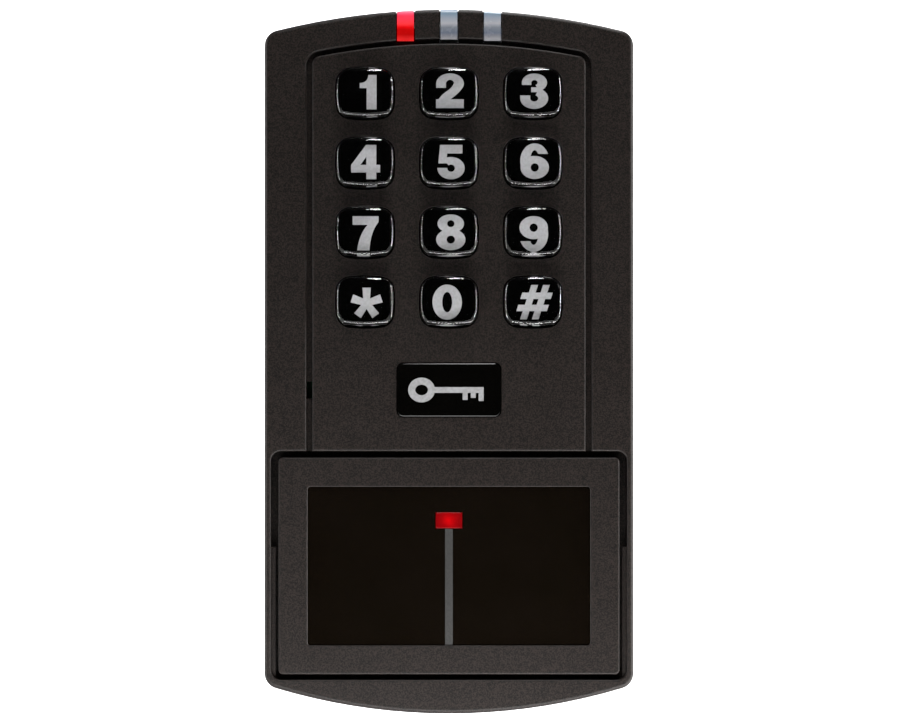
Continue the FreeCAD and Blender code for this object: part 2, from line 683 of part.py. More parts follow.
def board_screws():
    """Six screws through the main board and two through the antenna board."""
    seat = MAIN_BOARD_BACK - 0.02
    screws = [cross_screw(x, z, seat, MAIN_BOARD_DEPTH + 6) for x, z in STACK_POSTS + LOW_POSTS]
    x, z = ANTENNA_SCREW
    seat = ANTENNA_DEPTH - ANTENNA_THICK - 0.02
    screws += [cross_screw(side * x, z, seat, ANTENNA_DEPTH + 2.6) for side in (-1, 1)]
    return Part.makeCompound(screws)


def pin_row(x, z, count, side, near, far):
    """Square pins in a row along X."""
    first = x - PIN_PITCH * (count - 1) / 2
    return [block(first + n * PIN_PITCH, z, side, side, near, far) for n in range(count)]


def board_link():
    """The header that joins the two boards."""
    strip = block(*LINK_PLACE, PIN_PITCH * LINK_PINS, 2.5, MAIN_BOARD_DEPTH, KEY_BOARD_BACK)
    pins = pin_row(*LINK_PLACE, LINK_PINS, PIN_SIDE, MAIN_BOARD_BACK - 1.2, KEY_BOARD_DEPTH + 0.6)
    return fuse(strip, *pins)


def wire_header(x, z, count):
    """A straight header for the field wiring, with a latch wall above its pins."""
    length = PIN_PITCH * count
    base = block(x, z, length, 6.4, MAIN_BOARD_BACK - 3.2, MAIN_BOARD_BACK)
    wall = block(x, z + 2.6, length - 2.0, 1.2, MAIN_BOARD_BACK - 9.0, MAIN_BOARD_BACK - 3.0)
    pins = pin_row(x, z - 0.4, count, PIN_SIDE, MAIN_BOARD_BACK - 10.5, MAIN_BOARD_BACK - 3.0)
    return fuse(base, wall, *pins)


def microcontroller():
    """A flat chip with eight leads on each side."""
    x, z = -4.0, 6.0
    side, thick, lead_reach = 10.0, 1.4, 1.0
    body = block(x, z, side, side, MAIN_BOARD_BACK - thick - 0.1, MAIN_BOARD_BACK - 0.1)
    body = body.makeChamfer(0.2, edges_at(body, MAIN_BOARD_BACK - thick - 0.1))
    leads = []
    for n in range(8):
        offset = (n - 3.5) * 1.1
        span = side + 2 * lead_reach
        leads.append(block(x + offset, z, 0.45, span, MAIN_BOARD_BACK - 0.5, MAIN_BOARD_BACK))
        leads.append(block(x, z + offset, span, 0.45, MAIN_BOARD_BACK - 0.5, MAIN_BOARD_BACK))
    return fuse(body, *leads)


def lock_relay():
    """The relay that switches the door strike."""
    x, z = -16.0, 30.0
    relay = rounded(x, z, 15.4, 19.0, 0.6, MAIN_BOARD_BACK - 11.0, MAIN_BOARD_BACK)
    return relay.makeFillet(0.5, edges_at(relay, MAIN_BOARD_BACK - 11.0))


def beeper():
    """The round sounder, with its sound hole."""
    x, z = 16.0, 38.0
    can = rod(x, z, 6.2, MAIN_BOARD_BACK - 6.5, MAIN_BOARD_BACK)
    can = can.makeFillet(0.6, edges_at(can, MAIN_BOARD_BACK - 6.5))
    return can.cut(rod(x, z, 1.0, 0, MAIN_BOARD_BACK - 4.0))


def capacitors():
    """Three upright electrolytic capacitors."""
    cans = []
    for x, z, radius, height in ((20.5, 22.0, 4.0, 9.0), (21.5, 12.0, 3.15, 7.5), (21.5, 3.5, 3.15, 7.5)):
        can = rod(x, z, radius, MAIN_BOARD_BACK - height, MAIN_BOARD_BACK)
        cans.append(can.makeFillet(0.4, edges_at(can, MAIN_BOARD_BACK - height)))
    return Part.makeCompound(cans)


def crystal():
    """The clock crystal in its metal can."""
    can = rounded(8.5, 6.0, 4.6, 11.0, 2.2, MAIN_BOARD_BACK - 3.5, MAIN_BOARD_BACK)
    return can.makeFillet(0.4, edges_at(can, MAIN_BOARD_BACK - 3.5))


def voltage_regulator():
    """The regulator, tab and three leads, flat on the board."""
    x, z = -21.0, 3.0
    body = block(x, z, 10.0, 8.5, MAIN_BOARD_BACK - 4.4, MAIN_BOARD_BACK)
    tab = block(x, z + 7.0, 10.0, 6.4, MAIN_BOARD_BACK - 1.3, MAIN_BOARD_BACK)
    tab = tab.cut(rod(x, z + 7.4, 1.8, 0, REACH))
    legs = pin_row(x, z - 4.7, 3, 0.9, MAIN_BOARD_BACK - 0.9, MAIN_BOARD_BACK)
    feet = pin_row(x, z - 5.5, 3, 0.9, MAIN_BOARD_BACK - 0.9, MAIN_BOARD_BACK)
    return fuse(body, tab, *legs, *feet)


# ---- reader -------------------------------------------------------------------------------


def antenna_board():
    """The board that carries the reader's coil and LED."""
    low, high = ANTENNA_Z
    near = ANTENNA_DEPTH - ANTENNA_THICK
    board = rounded(0, (low + high) / 2, 2 * ANTENNA_HALF, high - low, 1.5, near, ANTENNA_DEPTH)
    x, z = ANTENNA_SCREW
    return cut(board, *[rod(side * x, z, SCREW_CLEARANCE, 0, REACH) for side in (-1, 1)])


def antenna_coil():
    """The flat rectangular winding that powers and reads a card."""
    low, high = ANTENNA_Z
    middle = (low + high) / 2
    outer = rounded(0, middle, 43.0, 30.0, 5.0, ANTENNA_DEPTH, ANTENNA_DEPTH + 1.6)
    inner = rounded(0, middle, 35.0, 22.0, 2.5, 0, REACH)
    return outer.cut(inner)


def reader_led():
    """The LED behind the reader's light piece."""
    width, height, thick = 3.2, 2.4, 1.7
    return block(0, LED_WINDOW_Z, width, height, ANTENNA_DEPTH, ANTENNA_DEPTH + thick)


# ---- wall plate ---------------------------------------------------------------------------


def plate_hook(x):
    """An arm from the plate that turns up to a round bead on the swing axis."""
    span = (x - HOOK_WIDTH / 2, x + HOOK_WIDTH / 2)
    neck_depth = (PIVOT_DEPTH - NECK_THICK / 2, PIVOT_DEPTH + NECK_THICK / 2)
    arm = box(span, HOOK_ARM_Z, (PLATE_THICK - 0.5, neck_depth[1]))
    neck = box(span, (HOOK_ARM_Z[0], PIVOT_Z), neck_depth)
    bead = across_rod(BEAD_RADIUS, span)
    return fuse(arm, neck, bead)


def box_slot(z):
    """One slot for a wall-box screw, with its long side upright."""
    width, length = BOX_SLOT
    return rounded(0, z, width, length, width / 2 - 0.001, -1, REACH)


def upright_rod(x, depth, radius, low, high):
    """A cylinder along Z."""
    return Part.makeCylinder(radius, high - low, at(x, low, depth), Vector(0, 0, 1))


def wall_plate():
    """The plate that is screwed to the wall box."""
    plate = arched(PLATE_HALF, PLATE_TOP, PLATE_BOTTOM, PLATE_CORNER, 0, PLATE_THICK)
    foot = box((-FOOT_HALF, FOOT_HALF), FOOT_Z, (0, FOOT_LENGTH))
    rib_x, rib_width, rib_height = PLATE_RIB
    rib_depth = (PLATE_THICK - 0.2, PLATE_THICK + rib_height)
    rib = box((rib_x - rib_width / 2, rib_x + rib_width / 2), PLATE_RIB_Z, rib_depth)
    plate = fuse(plate, foot, plate_hook(-HOOK_X), plate_hook(HOOK_X), rib, mirrored(rib))
    holes = [box_slot(BOX_SCREW_SPACING / 2), box_slot(-BOX_SCREW_SPACING / 2)]
    holes.append(rod(0, GROMMET_Z, GROMMET_NECK, -1, REACH))
    holes.append(rod(0, GROMMET_Z, GROMMET_FLANGE + 0.2, -1, GROMMET_LIP))
    holes.append(upright_rod(0, LOCK_DEPTH, INSERT_RADIUS + 0.02, FOOT_Z[0] - 1, FOOT_Z[1] + 1))
    return cut(plate, *holes)


def cable_grommet():
    """The rubber ring in the plate that the field wiring passes through."""
    neck = rod(0, GROMMET_Z, GROMMET_NECK - TOUCH, 0.02, PLATE_THICK + GROMMET_LIP)
    back = rod(0, GROMMET_Z, GROMMET_FLANGE, 0.02, GROMMET_LIP - 0.02)
    front = rod(0, GROMMET_Z, GROMMET_FLANGE, PLATE_THICK + 0.02, PLATE_THICK + GROMMET_LIP)
    front = front.makeFillet(0.3, edges_at(front, PLATE_THICK + GROMMET_LIP))
    return cut(fuse(neck, back, front), rod(0, GROMMET_Z, GROMMET_BORE, -1, REACH))


def foot_insert():
    """The brass thread in the plate's foot."""
    body = upright_rod(0, LOCK_DEPTH, INSERT_RADIUS, *FOOT_Z)
    return body.cut(upright_rod(0, LOCK_DEPTH, INSERT_BORE, FOOT_Z[0] - 1, FOOT_Z[1] + 1))


def security_screw():
    """The screw in the bottom edge, with a pinned hexagon socket."""
    radius, height = LOCK_HEAD
    seat = LOCK_SEAT_Z - TOUCH
    head = upright_rod(0, LOCK_DEPTH, radius, seat - height, seat)
    low_edges = [edge for edge in head.Edges if abs(edge.BoundBox.ZMax - (seat - height)) < SAME]
    head = head.makeFillet(0.6, low_edges)
    shank = upright_rod(0, LOCK_DEPTH, LOCK_RADIUS, seat - 0.1, FOOT_Z[1] + 0.4)
    socket = hexagon(0, 0, 2.0, 0, 1.0)
    socket.rotate(Vector(0, 0, 0), Vector(1, 0, 0), -90)
    socket.translate(at(0, seat - height, LOCK_DEPTH) - Vector(0, 0, socket.BoundBox.ZMin))
    pin = upright_rod(0, LOCK_DEPTH, 0.35, seat - height + 0.15, seat - height + 1.1)
    return fuse(fuse(head, shank).cut(socket), pin)


# ---- tamper switch ------------------------------------------------------------------------


def tamper_switch():
    """The switch body on the main board."""
    x, z = TAMPER
    side, height = TAMPER_BODY
    body = rounded(x, z, side, side, 0.5, MAIN_BOARD_BACK - height, MAIN_BOARD_BACK)
    return body.cut(rod(x, z, PLUNGER_RADIUS + TOUCH, 0, MAIN_BOARD_BACK - 0.8))


def tamper_plunger():
    """The plunger that rests on the wall plate."""
    x, z = TAMPER
    radius, thick, depth = COLLAR
    tip = PLATE_THICK + TOUCH
    stem = rod(x, z, PLUNGER_RADIUS, tip, MAIN_BOARD_BACK - 3.0)
    stem = stem.makeFillet(0.5, edges_at(stem, tip))
    return fuse(stem, rod(x, z, radius, depth - thick, depth))


def tamper_spring():
    """The coil spring between the plunger's collar and the switch body."""
    x, z = TAMPER
    near = COLLAR[2] + SPRING_WIRE + TOUCH
    length = MAIN_BOARD_BACK - TAMPER_BODY[1] - SPRING_WIRE - TOUCH - near
    path = Part.makeHelix(length / SPRING_TURNS, length, SPRING_RADIUS)
    start = Vector(SPRING_RADIUS, 0, 0)
    section = Part.Wire(Part.makeCircle(SPRING_WIRE, start, Vector(0, 1, 0)))
    coil = Part.Wire(path).makePipeShell([section], True, True)
    coil.rotate(Vector(0, 0, 0), Vector(1, 0, 0), 90)
    coil.translate(at(x, z, near))
    return coil


# ---- writing ------------------------------------------------------------------------------


def all_parts():
    """Every node's name and shape."""
    parts = {
        "wall_plate": wall_plate(),
        "cable_grommet": cable_grommet(),
        "foot_insert": foot_insert(),
        "security_screw": security_screw(),
        "front_housing": front_housing(),
        "keypad_fascia": keypad_fascia(),
        "badge_plate": badge_plate(),
        "reader_cover": reader_cover(),
        "reader_window": reader_window(),
        "reader_stripe": reader_stripe(),
        "reader_led_lens": reader_led_lens(),
        "status_leds": status_leds(),
        "keypad_mat": keypad_mat(),
        "keypad_board": keypad_board(),
        "main_board": main_board(),
        "board_spacers": board_spacers(),
        "board_screws": board_screws(),
        "board_link": board_link(),
        "wiring_header": wire_header(-2.0, -26.0, 10),
        "data_header": wire_header(8.0, -40.0, 5),
        "microcontroller": microcontroller(),
        "lock_relay": lock_relay(),
        "beeper": beeper(),
        "capacitors": capacitors(),
        "crystal": crystal(),
        "voltage_regulator": voltage_regulator(),
        "antenna_board": antenna_board(),
        "antenna_coil": antenna_coil(),
        "reader_led": reader_led(),
        "tamper_switch": tamper_switch(),
        "tamper_plunger": tamper_plunger(),
        "tamper_spring": tamper_spring(),
    }
    for name, x in zip(("left", "centre", "right"), lens_positions()):
        parts["status_lens_" + name] = status_lens(x)
    for name, x, z in key_places():
        parts["keycap_" + name] = keycap(x, z)
        parts["key_base_" + name] = key_base(x, z)
    return parts


os.makedirs("parts", exist_ok=True)
for name, shape in all_parts().items():
    sound = shape.isValid() and all(solid.isClosed() for solid in shape.Solids)
    print(name, len(shape.Solids), "solids", round(shape.Volume, 1), "mm3", "" if sound else "NOT SOUND")
    shape.exportStep("parts/" + name + ".step")
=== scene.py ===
import json
import math

import bmesh
import bpy
from mathutils import Matrix, Vector


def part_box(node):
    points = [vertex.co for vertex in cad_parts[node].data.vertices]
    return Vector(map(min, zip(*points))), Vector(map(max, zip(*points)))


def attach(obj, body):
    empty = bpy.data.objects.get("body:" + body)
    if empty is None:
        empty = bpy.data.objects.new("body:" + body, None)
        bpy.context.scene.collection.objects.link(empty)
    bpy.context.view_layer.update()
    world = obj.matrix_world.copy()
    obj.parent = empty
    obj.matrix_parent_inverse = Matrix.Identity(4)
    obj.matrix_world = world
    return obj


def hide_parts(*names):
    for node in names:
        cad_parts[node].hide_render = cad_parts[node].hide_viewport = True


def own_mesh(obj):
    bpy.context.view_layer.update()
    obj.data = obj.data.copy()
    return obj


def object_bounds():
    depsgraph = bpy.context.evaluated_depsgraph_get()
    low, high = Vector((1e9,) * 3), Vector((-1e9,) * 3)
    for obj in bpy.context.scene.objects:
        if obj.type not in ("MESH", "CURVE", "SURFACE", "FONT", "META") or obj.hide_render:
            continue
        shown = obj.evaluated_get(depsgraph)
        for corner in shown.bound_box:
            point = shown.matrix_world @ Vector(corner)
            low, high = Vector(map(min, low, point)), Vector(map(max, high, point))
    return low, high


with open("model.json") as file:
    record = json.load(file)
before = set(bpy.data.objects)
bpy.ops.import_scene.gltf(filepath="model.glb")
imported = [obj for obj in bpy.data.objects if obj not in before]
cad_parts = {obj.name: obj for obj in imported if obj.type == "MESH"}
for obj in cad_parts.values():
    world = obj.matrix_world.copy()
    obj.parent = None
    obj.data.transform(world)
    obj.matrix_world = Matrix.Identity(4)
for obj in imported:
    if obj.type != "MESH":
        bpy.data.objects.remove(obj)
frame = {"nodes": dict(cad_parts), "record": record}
cad_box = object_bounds()

# Metres, in the part's own frame: +Z is up and the front faces -Y. The printed outlines are drawn
# in millimetres and turned into metres by MM.
MM = 0.001
LOW, HIGH = (Vector(corner) for corner in cad_box)
PRINT_THICK = 0.04 * MM       # a printed figure
PRINT_LIFT = 0.03 * MM        # print stands this far off what it is printed on
ARC_STEP = 6                  # degrees between the points of a printed arc
CURVE_STEPS = 8               # pieces of a printed curve
FIGURE_SCALE = (0.94, 1, 0.94)    # of the size that the figures below are drawn at
INK_SHARE = (0.975, 1, 0.97, 1)   # of a keycap's back that the black ink covers
JOIN = 1e-6                   # points nearer than this are one point
LENS_SHOWS = 5.6 * MM         # height of a status lens on the front
GLOW_DEPTH = (1 * MM, 2 * MM)     # a light piece's glow fades out between these depths
HOT_SPOT = 2.8 * MM           # from the middle of the reader's light to where it is dimmest
WEB_THICK = 1.05 * MM         # the flat part of the keypad mat, with the very feet of its domes

FOCAL_LENGTH = 200            # millimetres, on a sensor 36 wide
SENSOR = 36
VIEW_WIDTH = 1.2735           # times the object's height
EYE_RIGHT = 0.2 * MM          # of the part's middle
EYE_UP = 0.3 * MM
CLIP_END = 20                 # past the backdrop

FLOOR_DROP = 0.12             # the floor lies this far below the object
FLOOR_FRONT = -1.0
FLOOR_BACK = 1.3              # the floor bends up here into an upright end
FLOOR_TOP = 1.2               # top of that end
FLOOR_SIDE = 2.4              # half the floor's width
FLOOR_BEND = 0.15             # radius of the bend

TOP_POWER = 3.5               # lights, in watts
LEFT_POWER = 2.2
RIGHT_POWER = 4
LOW_POWER = 0.44
BACK_POWER = 25
SURROUND = 0.01               # strength of the dim light from all round


# ---- node helpers -------------------------------------------------------------------------


def new_material(name):
    """An empty node material, its node tree and its principled shader."""
    material = bpy.data.materials.new(name)
    material.use_nodes = True
    tree = material.node_tree
    return material, tree, tree.nodes["Principled BSDF"]


def set_inputs(node, **values):
    """Sets a node's inputs. An underscore in a name stands for a space."""
    for name, value in values.items():
        node.inputs[name.replace("_", " ")].default_value = value


def front_middle(node):
    """The middle of a CAD node's front face."""
    low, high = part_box(node)
    return Vector(((low.x + high.x) / 2, low.y, (low.z + high.z) / 2))


def added(form, name):
    """A new object with a bmesh's faces. The bmesh is freed."""
    mesh = bpy.data.meshes.new(name)
    form.to_mesh(mesh)
    form.free()
    piece = bpy.data.objects.new(name, mesh)
    bpy.context.scene.collection.objects.link(piece)
    return piece


def drawn_out(form, faces, thick):
    """Thickens faces towards the front into a closed solid."""
    drawn = bmesh.ops.extrude_face_region(form, geom=faces)
    moved = [item for item in drawn["geom"] if isinstance(item, bmesh.types.BMVert)]
    bmesh.ops.translate(form, verts=moved, vec=(0, -thick, 0))


def place(tree):
    """Positions on the object, in metres."""
    return tree.nodes.new("ShaderNodeTexCoord").outputs["Object"]


def noise(tree, scale, detail=2.0, roughness=0.5):
    """Noise from 0 to 1, that many cells to the metre."""
    node = tree.nodes.new("ShaderNodeTexNoise")
    set_inputs(node, Scale=scale, Detail=detail, Roughness=roughness)
    tree.links.new(place(tree), node.inputs["Vector"])
    return node.outputs["Fac"]


def spread(tree, value, low, high, source=(0, 1)):
    """A value that runs over the source range, spread between low and high."""
    node = tree.nodes.new("ShaderNodeMapRange")
    set_inputs(node, From_Min=source[0], From_Max=source[1], To_Min=low, To_Max=high)
    tree.links.new(value, node.inputs["Value"])
    return node.outputs["Result"]


def blend_colours(tree, value, dark, light):
    """A colour between dark and light."""
    node = tree.nodes.new("ShaderNodeMix")
    node.data_type = "RGBA"
    colours = [socket for socket in node.inputs if socket.type == "RGBA"]
    colours[0].default_value = (*dark, 1)
    colours[1].default_value = (*light, 1)
    tree.links.new(value, node.inputs["Factor"])
    return next(socket for socket in node.outputs if socket.type == "RGBA")


def ramp(tree, value, stops):
    """A colour picked by a value from 0 to 1, from (value, colour) stops in rising order."""
    node = tree.nodes.new("ShaderNodeValToRGB")
    elements = node.color_ramp.elements
    for _ in stops[2:]:
        elements.new(0.5)
    for element, (position, colour) in zip(elements, stops):
        element.position = position
        element.color = (*colour, 1)
    tree.links.new(value, node.inputs["Fac"])
    return node.outputs["Color"]


def along(tree, axis):
    """Position along X, Y or Z."""
    parts = tree.nodes.new("ShaderNodeSeparateXYZ")
    tree.links.new(place(tree), parts.inputs["Vector"])
    return parts.outputs[axis]


def up_lens(tree, node):
    """From 0 at the bottom of a status lens's front to 1 at its top."""
    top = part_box(node)[1].z
    return spread(tree, along(tree, "Z"), 0, 1, (top - LENS_SHOWS, top))


def bump(tree, shader, height, strength, distance):
    """Drives the shader's normal from a height."""
    node = tree.nodes.new("ShaderNodeBump")
    set_inputs(node, Strength=strength, Distance=distance)
    tree.links.new(height, node.inputs["Height"])
    tree.links.new(node.outputs["Normal"], shader.inputs["Normal"])


def grained(name, dark, light, grain, rough, depth, specular=0.5):
    """A moulded or cast surface: fine grain in its colour, roughness and relief."""
    material, tree, shader = new_material(name)
    fine = noise(tree, grain, 3.0, 0.6)
    patchy = noise(tree, grain / 40, 4.0, 0.5)
    colour = blend_colours(tree, spread(tree, fine, 0, 1, (0.42, 0.58)), dark, light)
    tree.links.new(colour, shader.inputs["Base Color"])
    tree.links.new(spread(tree, patchy, *rough), shader.inputs["Roughness"])
    bump(tree, shader, fine, 0.35, depth)
    set_inputs(shader, Specular_IOR_Level=specular)
    return material


def polished(name, dark, light, rough=(0.03, 0.09)):
    """A polished surface with faint handling marks in its gloss."""
    material, tree, shader = new_material(name)
    patchy = noise(tree, 120, 5.0, 0.6)
    tree.links.new(blend_colours(tree, patchy, dark, light), shader.inputs["Base Color"])
    tree.links.new(spread(tree, patchy, *rough), shader.inputs["Roughness"])
    bump(tree, shader, noise(tree, 400, 1.0), 0.02, 0.02 * MM)
    return material


def metal(name, dark, light, rough):
    """Bare metal with fine scratches."""
    material, tree, shader = new_material(name)
    fine = noise(tree, 1500, 4.0, 0.7)
    tree.links.new(blend_colours(tree, fine, dark, light), shader.inputs["Base Color"])
    tree.links.new(spread(tree, fine, *rough), shader.inputs["Roughness"])
    bump(tree, shader, fine, 0.2, 0.01 * MM)
    set_inputs(shader, Metallic=1.0)
    return material


def clear_cap():
    """Clear polycarbonate, polished."""
    material, tree, shader = new_material("key_clear")
    set_inputs(shader, Transmission_Weight=1.0, IOR=1.5, Base_Color=(0.97, 0.97, 0.97, 1),
               Coat_Weight=0.15, Coat_Roughness=0.15)
    tree.links.new(spread(tree, noise(tree, 300, 4.0), 0.0, 0.03), shader.inputs["Roughness"])
    return material


def milky(name, dark, light):
    """An unlit diffusing light piece, cloudy inside and smooth outside."""
    material, tree, shader = new_material(name)
    cloudy = noise(tree, 450, 3.0, 0.5)
    tree.links.new(blend_colours(tree, cloudy, dark, light), shader.inputs["Base Color"])
    tree.links.new(spread(tree, cloudy, 0.15, 0.3), shader.inputs["Roughness"])
    return material


def lit(name, node, colours):
    """A light piece lit from behind, in the colours that a function of its node tree gives."""
    material, tree, shader = new_material(name)
    tree.links.new(colours(tree), shader.inputs["Emission Color"])
    front = front_middle(node).y
    at_front = spread(tree, along(tree, "Y"), 1, 0, tuple(front + depth for depth in GLOW_DEPTH))
    cloudy = noise(tree, 600, 2.0, 0.4)
    strength = tree.nodes.new("ShaderNodeMath")
    strength.operation = "MULTIPLY"
    tree.links.new(at_front, strength.inputs[0])
    tree.links.new(spread(tree, cloudy, 0.7, 1.3), strength.inputs[1])
    tree.links.new(strength.outputs["Value"], shader.inputs["Emission Strength"])
    tree.links.new(spread(tree, cloudy, 0.12, 0.25), shader.inputs["Roughness"])
    set_inputs(shader, Base_Color=(0.1, 0.001, 0.002, 1), Specular_IOR_Level=0.15)
    return material


def reader_red(tree):
    """Hot in the middle of the reader's light, deep red at its edges."""
    away = tree.nodes.new("ShaderNodeVectorMath")
    away.operation = "DISTANCE"
    away.inputs[1].default_value = front_middle("reader_led_lens")
    tree.links.new(place(tree), away.inputs[0])
    return ramp(tree, spread(tree, away.outputs["Value"], 1, 0, (0, HOT_SPOT)),
                ((0, (0.06, 0, 0)), (0.5, (0.2, 0, 0)), (1, (0.55, 0.0003, 0.0007))))


def status_red(tree):
    """Deep red low on the lit status lens, and paler above, up to a painted pale pink highlight along its
    top, where light from above catches the edge.
    """
    # The pink stops at 0.9 and 1 are a painted highlight of the light from above on the lens's top edge.
    return ramp(tree, up_lens(tree, "status_lens_left"),
                ((0, (0.7, 0.02, 0.02)), (0.17, (0.4, 0.002, 0.001)), (0.33, (0.47, 0.002, 0.001)),
                 (0.42, (0.75, 0.003, 0.004)), (0.53, (0.95, 0.04, 0.05)), (0.8, (0.95, 0.05, 0.1)),
                 (0.9, (0.95, 0.12, 0.22)), (1, (0.95, 0.5, 0.6))))


def unlit_lens():
    """An unlit status lens: cloudy, bluish at the top, with a pale band across the middle."""
    material, tree, shader = new_material("lens_clear")
    colour = ramp(tree, up_lens(tree, "status_lens_centre"),
                  ((0, (0.3, 0.3, 0.32)), (0.06, (0.24, 0.24, 0.26)), (0.2, (0.14, 0.16, 0.21)),
                   (0.38, (0.19, 0.21, 0.24)), (0.52, (0.38, 0.38, 0.41)), (0.68, (0.3, 0.33, 0.38)),
                   (0.85, (0.2, 0.28, 0.36)), (1, (0.28, 0.33, 0.4))))
    tree.links.new(colour, shader.inputs["Base Color"])
    tree.links.new(spread(tree, noise(tree, 450, 3.0), 0.15, 0.35), shader.inputs["Roughness"])
    bump(tree, shader, noise(tree, 300, 1.0), 0.1, 0.05 * MM)
    return material


def circuit_board():
    """Green solder mask over tracks that show as a faint grid."""
    material, tree, shader = new_material("circuit_board")
    tracks = tree.nodes.new("ShaderNodeTexVoronoi")
    tracks.distance = "MANHATTAN"
    set_inputs(tracks, Scale=350)
    tree.links.new(place(tree), tracks.inputs["Vector"])
    colour = blend_colours(tree, tracks.outputs["Distance"], (0.0, 0.09, 0.03), (0.01, 0.2, 0.07))
    tree.links.new(colour, shader.inputs["Base Color"])
    tree.links.new(spread(tree, noise(tree, 500), 0.25, 0.4), shader.inputs["Roughness"])
    bump(tree, shader, tracks.outputs["Distance"], 0.3, 0.02 * MM)
    return material


def all_materials():
    """One material for each of the record's slots, and those of the print and the lit status lens."""
    return {
        "case_plastic": grained("case_plastic", (0.0018, 0.0012, 0.0008), (0.0195, 0.014, 0.0117),
                                4500, (0.42, 0.52), 0.04 * MM, 0.25),
        "plate_plastic": grained("plate_plastic", (0.010, 0.010, 0.010), (0.02, 0.02, 0.02),
                                 1500, (0.5, 0.65), 0.05 * MM),
        "key_clear": clear_cap(),
        "key_black": polished("key_black", (0.002, 0.002, 0.002), (0.004, 0.004, 0.004)),
        "key_ink": grained("key_ink", (0.0002, 0.0002, 0.0002), (0.001, 0.001, 0.001),
                           1800, (0.8, 1.0), 0, 0),
        "badge_gloss": polished("badge_gloss", (0.0005, 0.0005, 0.0004), (0.0015, 0.0013, 0.001)),
        "window_gloss": polished("window_gloss", (0.0025, 0.0017, 0.0008), (0.0045, 0.003, 0.002)),
        "stripe_grey": grained("stripe_grey", (0.022, 0.022, 0.021), (0.036, 0.035, 0.034),
                               2500, (0.4, 0.5), 0.01 * MM),
        "lens_red": lit("lens_red", "reader_led_lens", reader_red),
        "status_red": lit("status_red", "status_lens_left", status_red),
        "lens_clear": unlit_lens(),
        "led_white": milky("led_white", (0.6, 0.58, 0.5), (0.8, 0.78, 0.7)),
        "silicone": grained("silicone", (0.03, 0.03, 0.033), (0.05, 0.05, 0.055),
                            1200, (0.55, 0.7), 0.03 * MM),
        "rubber_black": grained("rubber_black", (0.008, 0.008, 0.008), (0.018, 0.018, 0.018),
                                1500, (0.6, 0.8), 0.05 * MM),
        "circuit_board": circuit_board(),
        "copper": metal("copper", (0.55, 0.2, 0.08), (0.8, 0.36, 0.18), (0.25, 0.4)),
        "brass": metal("brass", (0.55, 0.38, 0.14), (0.75, 0.55, 0.25), (0.2, 0.4)),
        "steel": metal("steel", (0.4, 0.4, 0.42), (0.6, 0.6, 0.62), (0.25, 0.45)),
        "header_black": grained("header_black", (0.008, 0.008, 0.008), (0.02, 0.02, 0.02),
                                1500, (0.4, 0.5), 0.03 * MM),
        "header_white": grained("header_white", (0.55, 0.53, 0.48), (0.7, 0.68, 0.62),
                                1500, (0.35, 0.5), 0.03 * MM),
        "chip_black": grained("chip_black", (0.006, 0.006, 0.006), (0.016, 0.016, 0.016),
                              3000, (0.4, 0.6), 0.03 * MM),
        "relay_blue": polished("relay_blue", (0.005, 0.03, 0.16), (0.01, 0.05, 0.25), (0.2, 0.35)),
        "capacitor_can": metal("capacitor_can", (0.5, 0.5, 0.52), (0.7, 0.7, 0.72), (0.2, 0.35)),
        "key_print": grained("key_print", (0.53, 0.53, 0.54), (0.59, 0.59, 0.61),
                             1800, (0.8, 1.0), 0, 0),
        "badge_print": grained("badge_print", (0.27, 0.27, 0.27), (0.33, 0.33, 0.34),
                               1800, (0.4, 0.55), 0.01 * MM),
    }


def wear(obj, material):
    """Gives a piece that one material."""
    obj.data.materials.clear()
    obj.data.materials.append(material)


# ---- printed figures ----------------------------------------------------------------------
#
# A figure is a list of closed outlines in millimetres about the middle of its key, X to the
# right and Z up. Its outlines overlap or meet, and are joined into one solid.


def arc(centre, radii, start, end):
    """Points along an ellipse from one angle to another."""
    count = max(2, math.ceil(abs(end - start) / ARC_STEP))
    angles = [math.radians(start + (end - start) * n / count) for n in range(count + 1)]
    return [(centre[0] + radii[0] * math.cos(a), centre[1] + radii[1] * math.sin(a)) for a in angles]


def bowl(centre, outer, inner, start, end):
    """A stroke between two ellipses about one centre, from one angle to another."""
    return arc(centre, outer, start, end) + arc(centre, inner, end, start)


def ring(centre, outer, inner):
    """A closed stroke, as two halves that meet."""
    return [bowl(centre, outer, inner, 0, 180), bowl(centre, outer, inner, 180, 360)]


def curve(start, bend, end):
    """Points along a curve from start to end, pulled towards bend. The end is left out."""
    points = []
    for n in range(CURVE_STEPS):
        t = n / CURVE_STEPS
        points.append(tuple((1 - t)**2 * s + 2 * t * (1 - t) * b + t * t * e
                            for s, b, e in zip(start, bend, end)))
    return points


def bar(left, right, low, high):
    """An upright rectangle."""
    return [(left, low), (right, low), (right, high), (left, high)]


def turned(outlines, angle):
    """The outlines turned about the middle."""
    c, s = math.cos(math.radians(angle)), math.sin(math.radians(angle))
    return [[(x * c - z * s, x * s + z * c) for x, z in outline] for outline in outlines]


def leaning(outline, slope):
    """The outline leaning to the right."""
    return [(x + slope * z, z) for x, z in outline]


def figure_one():
    flag = [(-1.4, 0.75), (-1.4, 1.75)] + curve((-1.4, 1.75), (0.2, 1.8), (0.3, 3.35))
    return [flag + [(0.3, 3.35), (1.9, 3.35), (1.9, -3.45), (-0.05, -3.45), (-0.05, 0.75)]]


def figure_two():
    tail = curve((2.62, 0.9), (2.0, -0.3), (0.1, -1.65)) + [(0.1, -1.65), (0.1, -3.4), (-2.75, -3.4)]
    tail += curve((-2.75, -3.0), (-2.4, -1.2), (-0.6, -0.05))
    tail += curve((-0.6, -0.05), (0.5, 0.7), (0.75, 1.5))
    return [bowl((0, 1.45), (2.72, 2.02), (0.8, 0.72), -15, 180), bar(-2.72, -0.8, 0.6, 1.45),
            tail + [(0.75, 1.5)], bar(-2.75, 2.7, -3.4, -1.65)]


